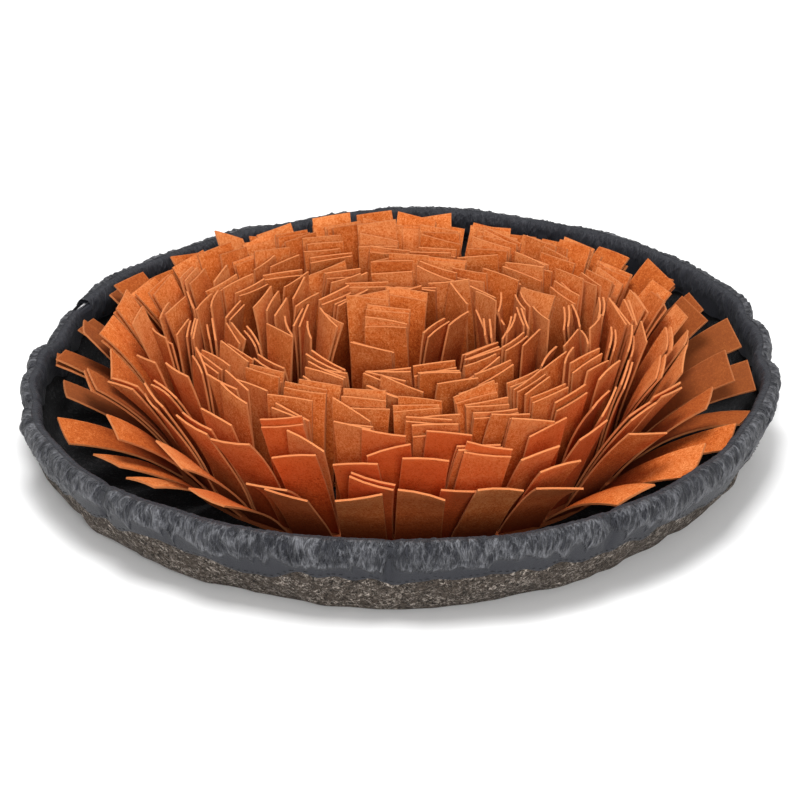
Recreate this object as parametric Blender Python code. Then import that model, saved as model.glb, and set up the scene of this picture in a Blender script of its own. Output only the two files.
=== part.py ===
"""Snuffle mat: a round felt tray with a low wall and a gathered rim, filled with rings of felt strips.

Lengths are in millimetres and angles in degrees, and each mesh is written in metres.
The origin is on the floor under the middle of the mat, +Z is up and the front is -Y.
"""

import math
import random
from collections import namedtuple

import bmesh
import bpy
from mathutils import Vector
from mathutils.bvhtree import BVHTree

MM = 0.001  # metres in a millimetre
SEAT_GAP = 0.3  # left between two pieces that touch

# Colours are linear, as the shader takes them.
Finish = namedtuple("Finish", "colour roughness")
GREY_FELT = Finish((0.075, 0.068, 0.06), 0.95)
CASING_CLOTH = Finish((0.045, 0.047, 0.053), 0.6)
CORD_BRAID = Finish((0.55, 0.54, 0.55), 0.7)
ORANGE_FELT = Finish((0.48, 0.14, 0.035), 0.95)

# The felt tray: a flat floor whose edge curves up into the wall.
FELT_THICK = 3.0
COLUMNS = 90  # sections round the tray, its casing and its cord, at the same angles
WALL_HEIGHTS = (0.04, 0.16, 0.42, 0.7)  # shares of the wall's height, between the floor and the felt's edge
RIPPLE_COUNTS = (11, 17, 26)  # soft waves round the wall, where the rim draws it in
RIPPLE_DEPTH = 0.9
WAVE_SHIFT = 2.1  # turns each wave against the others, in radians for each of its counts

# The wall by sections round the mat, seen from above, 0 on the right and 90 at the back.
Section = namedtuple("Section", "angle foot crest height")
SECTIONS = (
    Section(0, 187, 207, 48),
    Section(22.5, 187, 212, 50),
    Section(45, 186, 212, 50),
    Section(67.5, 184, 207, 51),
    Section(90, 184, 207, 51),
    Section(112.5, 184, 199, 50),
    Section(135, 186, 199, 50),
    Section(152, 188, 200, 51),
    Section(167, 192, 202, 46),
    Section(182, 193, 207, 47),
    Section(202.5, 191, 212, 48),
    Section(225, 188, 213, 49),
    Section(247.5, 185, 209, 49),
    Section(270, 188, 208, 50),
    Section(292.5, 181, 210, 50),
    Section(315, 175, 206, 50),
    Section(337.5, 178, 204, 49),
)

# The gathered casing: one strip of thin cloth folded over the felt's edge, with two mouths.
MOUTH_MIDDLE = 159.5  # where the drawcord shows between the two mouths
MOUTH_WIDTH = 12.0
MOUTH_STEP = 0.8  # least angle between a mouth's end and the next section
GATHER_COUNTS = (41, 31, 23)  # puckers round the rim
GATHER_DEPTH = 1.3
HEM_COUNTS = (5, 9, 14)  # bends in the stitched lower edge
HEM_WAVE = 1.6  # how far that edge wanders up and down
HEM_DROP = 18.0  # folds further down than this wander with it

# The casing's section. Across is from the wall's middle, + outwards, and drop is below the crest.
Fold = namedtuple("Fold", "across drop pucker")
CASING_OUTSIDE = (
    Fold(3.1, 21.5, 0.1),
    Fold(3.8, 15.0, 0.5),
    Fold(5.2, 7.0, 1.0),
    Fold(3.6, 1.2, 1.0),
    Fold(0.0, 0.0, 0.5),
    Fold(-3.6, 1.2, 0.8),
    Fold(-5.0, 7.5, 0.8),
    Fold(-3.1, 20.0, 0.1),
)
CASING_INSIDE = (
    Fold(-2.1, 20.0, 0.0),
    Fold(-3.6, 7.5, 0.0),
    Fold(-2.8, 2.2, 0.0),
    Fold(2.8, 2.2, 0.0),
    Fold(4.0, 7.0, 0.0),
    Fold(2.1, 21.5, 0.0),
)

# Deep pinches in the rim: where, how wide, and how far the crest is pushed in and down.
Pinch = namedtuple("Pinch", "angle width inward down")
PINCHES = (
    Pinch(268.5, 2.6, 2.2, 1.0),
    Pinch(15.5, 3.0, 2.0, 1.8),
    Pinch(2.0, 2.6, 1.8, 1.0),
    Pinch(172.0, 3.0, 2.0, 1.6),
    Pinch(181.0, 3.0, 1.8, 1.4),
    Pinch(193.0, 3.5, 1.6, 0.6),
    Pinch(224.0, 3.0, 1.2, 0.8),
    Pinch(301.0, 3.0, 1.4, 0.6),
)

# The drawcord lies on the felt's edge inside the casing.
CORD_RADIUS = 2.2
CORD_SIDES = 5
FELT_EDGE_DROP = 7.6  # from the crest down to the felt's edge

# The strips: each leg is half of a strip that is folded over its seam.
STRIP_WIDE = 25.0
STRIP_THICK = 1.8
LEG_PARTS = 2  # straight parts in a leg of the solid
TURN_STEPS = 24  # steps along which a leg's bend is added up
SEAM_THICK = 2.0
SEAM_SINK = 1.0  # how deep a leg's root is fused into its seam strip
ROOM_THICK = 0.7  # kept free on a leg's faces and edges while the legs are laid out
ROOM_WIDE = 0.5
WALL_ROOM = 8.0  # from a leg to the wall's middle
FLOOR_ROOM = 3.0  # from a leg's tip to the seam strips' tops
TRIES = 40

# Each seam is a ring of narrow backing strips with rows of legs on it. Sides are the straight ones of one strip.
Seam = namedtuple("Seam", "name arcs sides first inner outer")
SEAMS = (
    Seam("outer_ring", 10, 4, 4.0, 128.5, 135.8),
    Seam("second_ring", 10, 4, 4.0, 117.3, 128.1),
    Seam("third_ring", 10, 4, 16.0, 110.1, 116.9),
    Seam("fourth_ring", 10, 4, 16.0, 99.8, 109.75),
    Seam("fifth_ring", 5, 6, 35.0, 69.3, 77.5),
    Seam("sixth_ring", 5, 6, 35.0, 60.0, 68.95),
    Seam("seventh_ring", 4, 6, 65.0, 48.0, 58.5),
)

# Rows of legs, from the rim inwards. Lean is from upright, + outwards. Sprawl is the share taken of SPRAWLS.
Row = namedtuple("Row", "seam radius legs_per_arc shift root_lean tip_lean long sprawl")
ROWS = (
    Row("outer_ring", 133.0, 3, 0.0, 36, 49, 72, 1.0),
    Row("outer_ring", 129.5, 2, 0.0, 28, 41, 72, 0.6),
    Row("second_ring", 126.0, 3, 0.0, 21, 33, 73, 0.35),
    Row("second_ring", 122.5, 2, 0.2, 15, 26, 73, 0.15),
    Row("second_ring", 119.2, 2, -0.2, 11, 19, 73, 0.0),
    Row("third_ring", 114.6, 2, 0.3, 8, 15, 73, 0.0),
    Row("third_ring", 111.2, 2, -0.3, 5, 11, 73, 0.0),
    Row("fourth_ring", 107.8, 2, 0.2, 2, 7, 73, 0.0),
    Row("fourth_ring", 104.6, 2, -0.2, -1, 2, 72, 0.0),
    Row("fourth_ring", 101.6, 2, 0.0, -4, -3, 71, 0.0),
    Row("fifth_ring", 74.5, 3, 0.0, 3, 8, 72, 0.45),
    Row("fifth_ring", 70.5, 2, 0.0, 0, 4, 73, 0.6),
    Row("sixth_ring", 66.5, 3, 0.0, -2, 1, 74, 0.75),
    Row("sixth_ring", 62.5, 2, 0.3, -3, -1, 74, 0.9),
    Row("seventh_ring", 56.0, 3, 0.0, -4, -3, 74, 1.0),
    Row("seventh_ring", 51.0, 2, 0.3, -6, -6, 73, 1.0),
)

# How far the legs lie over, by direction: the rim's rows towards the rim, and the eye's rows away from it.
Sprawl = namedtuple("Sprawl", "angle rim eye")
SPRAWLS = (
    Sprawl(0, 18, 3),
    Sprawl(30, 6, 0),
    Sprawl(60, 2, -2),
    Sprawl(90, 4, -2),
    Sprawl(120, 12, -2),
    Sprawl(150, 12, 0),
    Sprawl(180, 18, 2),
    Sprawl(205, 20, 7),
    Sprawl(230, 12, 16),
    Sprawl(255, -3, 23),
    Sprawl(285, -3, 23),
    Sprawl(310, 10, 16),
    Sprawl(335, 20, 7),
)
RIM_SEAMS = ("outer_ring", "second_ring", "third_ring", "fourth_ring")
ROOT_SHARE = 0.6  # of the sprawl and of a leg's own lean, already there at its root
CURL_BACK = 0.3  # of a leg's curl, taken off at its root

# What differs from leg to leg, as the most on either side.
LEAN_SPREAD = 4.5
ROLL_SPREAD = 6.0
TWIST_SPREAD = 15.0
CURL_SPREAD = 7.0
SHORTEST = 0.94  # share of a row's length
SLIDE = 0.35  # share of the room beside a leg along which it may slide
LAYOUT_SEED = 11

Leg = namedtuple("Leg", "angle radius facing root_lean tip_lean roll twist long")

# The centre tuft's own legs, round its seam: where each is sewn and which way its outer face looks.
TUFT_RADIUS = 36.0
TUFT_SIDES = 16
TUFT = (
    Leg(238, 27, 259, 8, 12, 1, 2, 72),
    Leg(235, 11, 268, 0, 3, -2, 2, 73),
    Leg(150, 11, 264, -2, -4, 2, -3, 73),
    Leg(135, 22, 98, 5, 9, 2, 4, 72),
    Leg(90, 23, 88, 6, 10, -3, -4, 72),
    Leg(338, 15, 338, 0, 6, -2, 8, 72),
    Leg(6, 22, 334, 5, 14, 3, -6, 71),
)


def polar(angle, radius, height):
    """The point at an angle and a distance round the mat's axis."""
    turn = math.radians(angle)
    return Vector((radius * math.cos(turn), radius * math.sin(turn), height))


def read_round(table, column, angle):
    """One column of a table of directions, read smoothly between its rows."""
    angle %= 360
    low = max(i for i, row in enumerate(table) if row.angle <= angle)
    high = (low + 1) % len(table)
    span = (table[high].angle - table[low].angle) % 360
    share = (angle - table[low].angle) / span
    share *= share * (3 - 2 * share)
    return getattr(table[low], column) * (1 - share) + getattr(table[high], column) * share


def waves(angle, counts):
    """A soft uneven wave round the mat, from about -1 to 1."""
    total = sum(math.sin((math.radians(angle) + WAVE_SHIFT) * count) for count in counts)
    return total / math.sqrt(2 * len(counts))


def pinched(angle, column):
    """How far the pinches near an angle push the rim."""
    total = 0.0
    for pinch in PINCHES:
        away = ((angle - pinch.angle + 180) % 360 - 180) / pinch.width
        total += getattr(pinch, column) * math.exp(-away * away)
    return total


def crest_height(angle):
    return read_round(SECTIONS, "height", angle) - pinched(angle, "down")


def wall_point(angle, height, across):
    """A point beside the wall's middle: a quarter of an ellipse from the floor up to the crest."""
    foot = read_round(SECTIONS, "foot", angle)
    reach = read_round(SECTIONS, "crest", angle) - foot
    top = crest_height(angle)
    up = math.acos(max(-1.0, 1 - height / top))
    rise = math.sin(up)
    reach += waves(angle, RIPPLE_COUNTS) * RIPPLE_DEPTH * math.sin(up) - pinched(angle, "inward") * rise
    normal = Vector((top * rise, -reach * math.cos(up))).normalized()
    middle = FELT_THICK / 2
    return polar(angle, foot + reach * rise + across * normal.x, height + middle + across * normal.y)


def mesh_object(name, points, faces, smooth=30.0):
    """A closed body from points in millimetres."""
    work = bmesh.new()
    corners = [work.verts.new(point * MM) for point in points]
    for face in faces:
        work.faces.new([corners[i] for i in face])
    bmesh.ops.recalc_face_normals(work, faces=work.faces)
    mesh = bpy.data.meshes.new(name)
    work.to_mesh(mesh)
    work.free()
    mesh.shade_smooth()
    mesh.set_sharp_from_angle(angle=math.radians(smooth))
    body = bpy.data.objects.new(name, mesh)
    bpy.context.scene.collection.objects.link(body)
    return body


def paint(body, finish):
    """Gives a body its own plain material."""
    material = bpy.data.materials.new(body.name + "_finish")
    material.use_nodes = True
    shader = material.node_tree.nodes["Principled BSDF"]
    shader.inputs["Base Color"].default_value = (*finish.colour, 1.0)
    shader.inputs["Roughness"].default_value = finish.roughness
    shader.inputs["Metallic"].default_value = 0.0
    body.data.materials.clear()
    body.data.materials.append(material)


def loop_faces(columns, size, closed):
    """Quads between neighbouring loops of points, each loop closed on itself."""
    faces = []
    for column in range(columns if closed else columns - 1):
        here = column * size
        there = (column + 1) % columns * size
        for i in range(size):
            j = (i + 1) % size
            faces.append((here + i, here + j, there + j, there + i))
    return faces


def felt_loop(angle):
    """The tray's section at an angle: up its outer face from the floor, then down its inner face."""
    half = FELT_THICK / 2
    edge = crest_height(angle) - FELT_EDGE_DROP - half
    heights = [0.0] + [share * edge for share in WALL_HEIGHTS] + [edge]
    outer = [wall_point(angle, height, half) for height in heights]
    inner = [wall_point(angle, height, -half) for height in reversed(heights)]
    return outer + inner


def felt_tray():
    """The tray's one sheet: flat floor, curved foot and wall."""
    loops = [felt_loop(360 * column / COLUMNS) for column in range(COLUMNS)]
    size = len(loops[0])
    points = [point for loop in loops for point in loop]
    under = len(points)
    over = under + 1
    points += [Vector((0, 0, 0)), Vector((0, 0, FELT_THICK))]
    faces = []
    for column in range(COLUMNS):
        here = column * size
        there = (column + 1) % COLUMNS * size
        for i in range(size - 1):
            faces.append((here + i, here + i + 1, there + i + 1, there + i))
        faces.append((under, here, there))
        faces.append((over, there + size - 1, here + size - 1))
    paint(mesh_object("felt_tray", points, faces), GREY_FELT)


def casing_loop(angle):
    """The casing's section at an angle: round the outside face, then back along the inside one."""
    top = crest_height(angle) - FELT_THICK / 2
    gather = GATHER_DEPTH * (1 + waves(angle, GATHER_COUNTS)) / 2
    wander = HEM_WAVE * waves(angle, HEM_COUNTS)
    loop = []
    for fold in CASING_OUTSIDE + CASING_INSIDE:
        swell = fold.pucker * gather
        drop = fold.drop + (wander if fold.drop > HEM_DROP else 0)
        if fold.across == 0:
            loop.append(wall_point(angle, top, 0) + Vector((0, 0, swell)))
        else:
            loop.append(wall_point(angle, top - drop, fold.across + math.copysign(swell, fold.across)))
    return loop


def rim_casing():
    """The gathered casing, open where its two mouths leave the drawcord bare."""
    mouth = math.degrees(MOUTH_WIDTH / 2 / read_round(SECTIONS, "crest", MOUTH_MIDDLE))
    first = MOUTH_MIDDLE + mouth
    last = MOUTH_MIDDLE - mouth + 360
    step = 360 / COLUMNS
    between = [i * step for i in range(2 * COLUMNS) if first + MOUTH_STEP < i * step < last - MOUTH_STEP]
    loops = [casing_loop(angle) for angle in [first] + between + [last]]
    size = len(loops[0])
    points = [point for loop in loops for point in loop]
    faces = loop_faces(len(loops), size, closed=False)
    faces.append(tuple(range(size)))
    faces.append(tuple(range(len(points) - size, len(points))))
    paint(mesh_object("rim_casing", points, faces, smooth=50.0), CASING_CLOTH)


def drawcord():
    """The cord that gathers the rim, one ring lying on the felt's edge."""
    points = []
    lift = FELT_EDGE_DROP - SEAT_GAP - CORD_RADIUS
    for column in range(COLUMNS):
        angle = 360 * column / COLUMNS
        middle = wall_point(angle, crest_height(angle) - lift - FELT_THICK / 2, 0)
        out = polar(angle, 1, 0)
        for side in range(CORD_SIDES):
            turn = 2 * math.pi * side / CORD_SIDES
            points.append(middle + (out * math.cos(turn) + Vector((0, 0, math.sin(turn)))) * CORD_RADIUS)
    faces = loop_faces(COLUMNS, CORD_SIDES, closed=True)
    paint(mesh_object("drawcord", points, faces, smooth=80.0), CORD_BRAID)


def leg_frames(leg, parts):
    """Where a leg runs: for each cut across it, its middle, its width direction and its face direction."""
    out = polar(leg.facing, 1, 0)
    along = polar(leg.facing + 90, 1, 0)
    up = Vector((0, 0, 1))
    place = polar(leg.angle, leg.radius, FELT_THICK + SEAT_GAP + SEAM_THICK)
    frames = [(place - up * SEAM_SINK, along, out)]
    step = leg.long / TURN_STEPS
    for i in range(1, TURN_STEPS + 1):
        share = i / TURN_STEPS
        lean = math.radians(leg.root_lean + (leg.tip_lean - leg.root_lean) * share)
        roll = math.radians(leg.roll) * min(1.0, 2 * share)
        twist = math.radians(leg.twist) * share
        ahead = out * math.sin(lean) + up * math.cos(lean)
        face = out * math.cos(lean) - up * math.sin(lean)
        run = ahead * math.cos(roll) + along * math.sin(roll)
        place = place + run * step
        if i % (TURN_STEPS // parts) == 0:
            flat = along * math.cos(roll) - ahead * math.sin(roll)
            wide = flat * math.cos(twist) + face * math.sin(twist)
            frames.append((place.copy(), wide, wide.cross(run)))
    return frames


def leg_shape(leg, parts, wide, thick):
    """A leg's points and faces: a four-sided bar with a cut across it at each frame."""
    points = []
    for middle, across, face in leg_frames(leg, parts):
        for side, depth in ((-1, -1), (1, -1), (1, 1), (-1, 1)):
            points.append(middle + across * side * wide / 2 + face * depth * thick / 2)
    faces = loop_faces(parts + 1, 4, closed=False)
    faces.append((3, 2, 1, 0))
    end = len(points) - 4
    faces.append((end, end + 1, end + 2, end + 3))
    return points, faces


def fits_tray(leg):
    """Whether a leg stays over the floor and off the wall."""
    floor = FELT_THICK + SEAT_GAP + SEAM_THICK
    frames = leg_frames(leg, LEG_PARTS)
    for middle, across, _ in frames[1:]:
        for side in (-0.5, 0.5):
            corner = middle + across * side * STRIP_WIDE
            angle = math.degrees(math.atan2(corner.y, corner.x))
            height = min(corner.z, crest_height(angle)) - FELT_THICK / 2
            wall = wall_point(angle, max(0.0, height), 0).xy.length
            if corner.xy.length > wall - WALL_ROOM or corner.z < floor + FLOOR_ROOM:
                return False
    return True


def draw_leg(row, low, high, middle, slack, calm, chance):
    """One try at a leg. Calm goes from 1, as wild as the spreads allow, down to 0."""
    def spread(most):
        return chance.uniform(-most, most) * calm
    angle = min(high, max(low, middle + spread(slack)))
    side = "rim" if row.seam in RIM_SEAMS else "eye"
    lean = read_round(SPRAWLS, side, angle) * row.sprawl + spread(LEAN_SPREAD)
    curl = spread(CURL_SPREAD)
    root = row.root_lean + lean * ROOT_SHARE - curl * CURL_BACK
    tip = row.tip_lean + lean + curl
    long = row.long * chance.uniform(SHORTEST, 1)
    return Leg(angle, row.radius, angle, root, tip, spread(ROLL_SPREAD), spread(TWIST_SPREAD), long)


def room_round(leg):
    """A leg's own room, a little wider and thicker than the leg."""
    points, faces = leg_shape(leg, LEG_PARTS, STRIP_WIDE + ROOM_WIDE, STRIP_THICK + ROOM_THICK)
    return BVHTree.FromPolygons(points, faces)


def sew_row(row, seam, placed, arcs):
    """Adds a row's legs. A leg is drawn again until it hangs clear of those sewn before it."""
    chance = random.Random(LAYOUT_SEED + round(row.radius))
    arc = 360 / seam.arcs
    half = math.degrees(math.atan2(STRIP_WIDE / 2 + SEAT_GAP, row.radius - STRIP_THICK))
    cell = arc / row.legs_per_arc
    room = cell - 2 * half
    for i in range(seam.arcs):
        start = seam.first + arc * i
        for k in range(row.legs_per_arc):
            middle = start + cell * (k + 0.5) + row.shift * room
            for attempt in range(TRIES):
                calm = 1 - attempt / TRIES
                leg = draw_leg(row, start + half, start + arc - half, middle, SLIDE * room, calm, chance)
                tree = room_round(leg)
                if fits_tray(leg) and not any(tree.overlap(other) for other in placed):
                    placed.append(tree)
                    arcs[(seam.name, i)].append(leg)
                    break


def lay_out_legs():
    """The legs on each arc of each seam."""
    seams = {seam.name: seam for seam in SEAMS}
    arcs = {(seam.name, i): [] for seam in SEAMS for i in range(seam.arcs)}
    placed = [room_round(leg) for leg in TUFT]
    for row in ROWS:
        sew_row(row, seams[row.seam], placed, arcs)
    return arcs


def backing(outline):
    """A flat backing from its outline, lying on the tray's floor."""
    low = FELT_THICK + SEAT_GAP
    points = [polar(angle, radius, height) for height in (low, low + SEAM_THICK) for radius, angle in outline]
    size = len(outline)
    faces = [(i, (i + 1) % size, size + (i + 1) % size, size + i) for i in range(size)]
    faces += [tuple(range(size - 1, -1, -1)), tuple(range(size, 2 * size))]
    return points, faces


def arc_outline(seam, index):
    """A seam's narrow strip along one arc: its outer edge, then back along its inner edge."""
    arc = 360 / seam.arcs
    outline = []
    for radius, order in ((seam.outer, range(seam.sides + 1)), (seam.inner, range(seam.sides, -1, -1))):
        trim = math.degrees(SEAT_GAP / 2 / radius)
        start = seam.first + arc * index + trim
        outline += [(radius, start + (arc - 2 * trim) * i / seam.sides) for i in order]
    return outline


def fuse(body, legs):
    """Joins the legs to their backing, so that the node is one body."""
    points = []
    faces = []
    for leg in legs:
        more, sides = leg_shape(leg, LEG_PARTS, STRIP_WIDE, STRIP_THICK)
        faces += [tuple(len(points) + i for i in side) for side in sides]
        points += more
    strands = mesh_object("strands", points, faces)
    join = body.modifiers.new("fuse", "BOOLEAN")
    join.operation = "UNION"
    join.solver = "EXACT"
    join.object = strands
    bpy.context.view_layer.update()
    seen = body.evaluated_get(bpy.context.evaluated_depsgraph_get())
    joined = bpy.data.meshes.new_from_object(seen)
    body.modifiers.remove(join)
    body.data = joined
    bpy.data.objects.remove(strands)


def sewn_strips(name, outline, legs):
    """One backing with the legs sewn on it."""
    points, faces = backing(outline)
    body = mesh_object(name, points, faces)
    fuse(body, legs)
    paint(body, ORANGE_FELT)


def strip_rings():
    for (name, index), legs in lay_out_legs().items():
        seam = next(seam for seam in SEAMS if seam.name == name)
        sewn_strips(f"{name}_{index + 1:02d}", arc_outline(seam, index), legs)


def centre_tuft():
    sewn_strips("centre_tuft", [(TUFT_RADIUS, 360 * i / TUFT_SIDES) for i in range(TUFT_SIDES)], TUFT)


def main():
    for old in list(bpy.data.objects):
        bpy.data.objects.remove(old)
    felt_tray()
    rim_casing()
    drawcord()
    strip_rings()
    centre_tuft()


main()
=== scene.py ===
import math
import random

import bmesh
import bpy
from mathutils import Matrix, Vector, noise
from mathutils.bvhtree import BVHTree


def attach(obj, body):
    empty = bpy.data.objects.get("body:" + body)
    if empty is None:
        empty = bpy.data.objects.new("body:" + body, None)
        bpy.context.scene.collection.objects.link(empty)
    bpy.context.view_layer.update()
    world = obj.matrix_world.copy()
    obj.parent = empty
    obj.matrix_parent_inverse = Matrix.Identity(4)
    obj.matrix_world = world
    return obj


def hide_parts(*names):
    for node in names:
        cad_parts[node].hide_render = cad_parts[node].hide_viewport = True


# A round snuffle mat. Sizes in the dictionaries are in millimetres and angles in degrees,
# 0 on the right and 90 at the back, unless a note says otherwise. Meshes are in metres.

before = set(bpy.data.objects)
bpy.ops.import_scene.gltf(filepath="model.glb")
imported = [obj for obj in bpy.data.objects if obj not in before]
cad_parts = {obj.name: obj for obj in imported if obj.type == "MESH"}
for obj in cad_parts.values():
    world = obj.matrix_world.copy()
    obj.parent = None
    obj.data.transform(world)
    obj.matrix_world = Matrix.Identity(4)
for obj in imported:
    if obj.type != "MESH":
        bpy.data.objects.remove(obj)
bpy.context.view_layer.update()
mm = 0.001
merge = 0.01 * mm  # points that are nearer than this are one
up = Vector((0, 0, 1))
print("frame loaded:", len(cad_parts), "nodes")


# Camera, lights and floor

camera = {
    "distance": 1596,  # from the middle of the rim's plane
    "elevation": 26.3,
    "rimHeight": 50,
    "focal": 2835,  # in pixels of the picture
    "picture": 800,  # its width in pixels
    "middle": (399, 356),  # the pixel where the middle of the rim's plane falls
    "sensor": 36,
}


def placeCamera():
    tilt = math.radians(camera["elevation"])
    half = camera["picture"] / 2
    side = math.atan((half - camera["middle"][0]) / camera["focal"])
    down = math.atan((half - camera["middle"][1]) / camera["focal"])
    away = camera["distance"] * mm
    spot = (0, -away * math.cos(tilt), camera["rimHeight"] * mm + away * math.sin(tilt))
    turn = (math.radians(90) - tilt - down, 0, side)
    bpy.ops.object.camera_add(location=spot, rotation=turn)
    eye = bpy.context.object
    eye.data.sensor_width = camera["sensor"]
    eye.data.lens = camera["sensor"] * camera["focal"] / camera["picture"]
    bpy.context.scene.camera = eye


studio = {
    "sky": (1.0, 1.0, 1.0),
    "skyStrength": 0.43,
    "floor": (0.93, 0.93, 0.93),
    "floorRoughness": 0.9,
    "floorSize": 12,  # in metres
    "floorHeight": -0.2,  # just below the felt
    # name, place in metres, size in metres, power in watts
    "lamps": [
        ("softboxHigh", (-0.12, -0.35, 1.6), 0.7, 25),
        ("softboxBack", (0.4, 0.8, 1.3), 0.8, 5),
        ("softboxLow", (0.2, -1.9, 0.85), 0.6, 23),
    ],
}


def lightStudio():
    world = bpy.data.worlds.new("studioWorld")
    world.use_nodes = True
    sky = world.node_tree.nodes["Background"]
    sky.inputs["Color"].default_value = (*studio["sky"], 1)
    sky.inputs["Strength"].default_value = studio["skyStrength"]
    bpy.context.scene.world = world
    bpy.context.scene.view_settings.view_transform = "Standard"  # colours as the felt has them
    for name, place, size, power in studio["lamps"]:
        bpy.ops.object.light_add(type="AREA", location=place)
        lamp = bpy.context.object
        lamp.name = name
        lamp.data.size = size
        lamp.data.energy = power
        lamp.rotation_euler = (-Vector(place)).to_track_quat("-Z", "Y").to_euler()


def layFloor():
    bpy.ops.mesh.primitive_plane_add(size=studio["floorSize"], location=up * studio["floorHeight"] * mm)
    floor = bpy.context.object
    floor.name = "studioFloor"
    paper = bpy.data.materials.new("floorPaper")
    paper.use_nodes = True
    shader = paper.node_tree.nodes["Principled BSDF"]
    shader.inputs["Base Color"].default_value = (*studio["floor"], 1)
    shader.inputs["Roughness"].default_value = studio["floorRoughness"]
    floor.data.materials.append(paper)


placeCamera()
lightStudio()
layFloor()
print("camera, lights and floor placed")


# Shader maths

class Number:  # a value on its way through a material, so that its maths is written as maths
    def __init__(self, finish, socket):
        self.finish = finish
        self.socket = socket

    def maths(self, operation, *values):
        sockets = dict(enumerate(values))
        return self.finish.node("ShaderNodeMath", {"operation": operation}, sockets)

    def __add__(self, other):
        return self.maths("ADD", self, other)

    def __radd__(self, other):
        return self.maths("ADD", other, self)

    def __sub__(self, other):
        return self.maths("SUBTRACT", self, other)

    def __rsub__(self, other):
        return self.maths("SUBTRACT", other, self)

    def __mul__(self, other):
        return self.maths("MULTIPLY", self, other)

    def __rmul__(self, other):
        return self.maths("MULTIPLY", other, self)

    def larger(self, other):
        return self.maths("MAXIMUM", self, other)

    def smaller(self, other):
        return self.maths("MINIMUM", self, other)

    def sine(self):
        return self.maths("SINE", self)

    def off(self, other):  # how far it is from a value, either way
        return self.maths("ABSOLUTE", self - other)

    def ramp(self, low, high):  # 0 below low, 1 above high and soft between
        settings = {"interpolation_type": "SMOOTHSTEP", "clamp": True}
        sockets = {"Value": self, "From Min": low, "From Max": high}
        return self.finish.node("ShaderNodeMapRange", settings, sockets)


class Finish:  # one material while it is made
    def __init__(self, name, roughness, sheen=0.0, sheenRoughness=0.5, specular=0.5):
        self.material = bpy.data.materials.new(name)
        self.material.use_nodes = True
        self.tree = self.material.node_tree
        self.shader = self.tree.nodes["Principled BSDF"]
        self.shader.inputs["Roughness"].default_value = roughness
        self.shader.inputs["Sheen Weight"].default_value = sheen
        self.shader.inputs["Sheen Roughness"].default_value = sheenRoughness
        self.shader.inputs["Specular IOR Level"].default_value = specular

    def node(self, kind, settings, sockets, output=0):
        node = self.tree.nodes.new(kind)
        for name, value in settings.items():
            setattr(node, name, value)
        for name, value in sockets.items():
            if isinstance(value, Number):
                self.tree.links.new(value.socket, node.inputs[name])
            else:
                node.inputs[name].default_value = value
        return Number(self, node.outputs[output])

    def place(self):  # where a point is on the piece, in millimetres
        where = self.node("ShaderNodeTexCoord", {}, {}, "Object")
        return self.scaled(where, 1 / mm)

    def scaled(self, vector, factor):
        settings = {"operation": "MULTIPLY"}
        by = (factor, factor, factor) if isinstance(factor, (int, float)) else factor
        return self.node("ShaderNodeVectorMath", settings, {0: vector, 1: by})

    def part(self, vector, axis):
        return self.node("ShaderNodeSeparateXYZ", {}, {"Vector": vector}, axis)

    def turned(self, vector, *degrees):
        turn = tuple(math.radians(value) for value in degrees)
        return self.node("ShaderNodeMapping", {}, {"Vector": vector, "Rotation": turn})

    def cloud(self, vector, pitch, detail=2.0, rough=0.5, swirl=0.0):  # soft noise of that pitch
        sockets = {"Vector": vector, "Scale": 1 / pitch, "Detail": detail}
        sockets.update({"Roughness": rough, "Distortion": swirl})
        return self.node("ShaderNodeTexNoise", {}, sockets)

    def layout(self, name):  # the piece's own flat layout
        return self.node("ShaderNodeUVMap", {"uv_map": name}, {}, "UV")

    def note(self, name):  # a value that the mesh carries
        return self.node("ShaderNodeAttribute", {"attribute_name": name}, {}, "Fac")

    def blend(self, factor, low, high):  # from one colour to another
        tree = self.tree
        node = tree.nodes.new("ShaderNodeMix")
        node.data_type = "RGBA"
        tree.links.new(factor.socket, node.inputs["Factor"])
        for name, colour in (("A", low), ("B", high)):
            socket = next(s for s in node.inputs if s.name == name and s.type == "RGBA")
            if isinstance(colour, Number):
                tree.links.new(colour.socket, socket)
            else:
                socket.default_value = (*colour, 1)
        return Number(self, next(s for s in node.outputs if s.type == "RGBA"))

    def paint(self, colour, relief, depth):  # depth of the relief in millimetres
        sockets = {"Height": relief, "Distance": depth * mm, "Strength": 1.0}
        bump = self.node("ShaderNodeBump", {}, sockets, "Normal")
        self.tree.links.new(colour.socket, self.shader.inputs["Base Color"])
        self.tree.links.new(bump.socket, self.shader.inputs["Normal"])
        return self.material


# Felt and cloth finishes

orangeFelt = {
    "surface": {"roughness": 0.95, "sheen": 0.02, "sheenRoughness": 0.6, "specular": 0.03},
    "root": (0.20, 0.020, 0.002),  # painted shade towards the backing, where the strips stand close
    "deep": (0.31, 0.046, 0.006),
    "middle": (0.54, 0.116, 0.018),
    "light": (0.71, 0.255, 0.085),
    "cut": (0.56, 0.20, 0.075),  # inner fibres, where a strip was cut
    "brown": (0.16, 0.052, 0.017),  # painted shade on the outermost strips that lie towards the sides
    "paintedFrontShade": ((0.22, 0.018, 0.001), (0.52, 0.062, 0.006)),  # painted shade, darker and redder, on the strips along the front
    "sheen": (1.0, 0.8, 0.62),
    # pitch of each noise in the felt, and how much it lightens it
    "grain": (1.25, 3.8),
    "fleck": (0.6, 1.2),
    "mottle": (9.0, 0.9),
    "tintShare": 0.45,  # how much a strip's own tint, with the painted shade of the side strips, lightens or darkens it
    "tipShare": 0.5,  # and how much paler its end is, a painted light on the ends
    "rag": 0.06,  # how uneven the pale cut edges are
    "sideEdge": 0.03,  # how wide they are, as shares of the strip's width and length
    "tipEdge": 0.012,
    "relief": 0.5,
}


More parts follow.
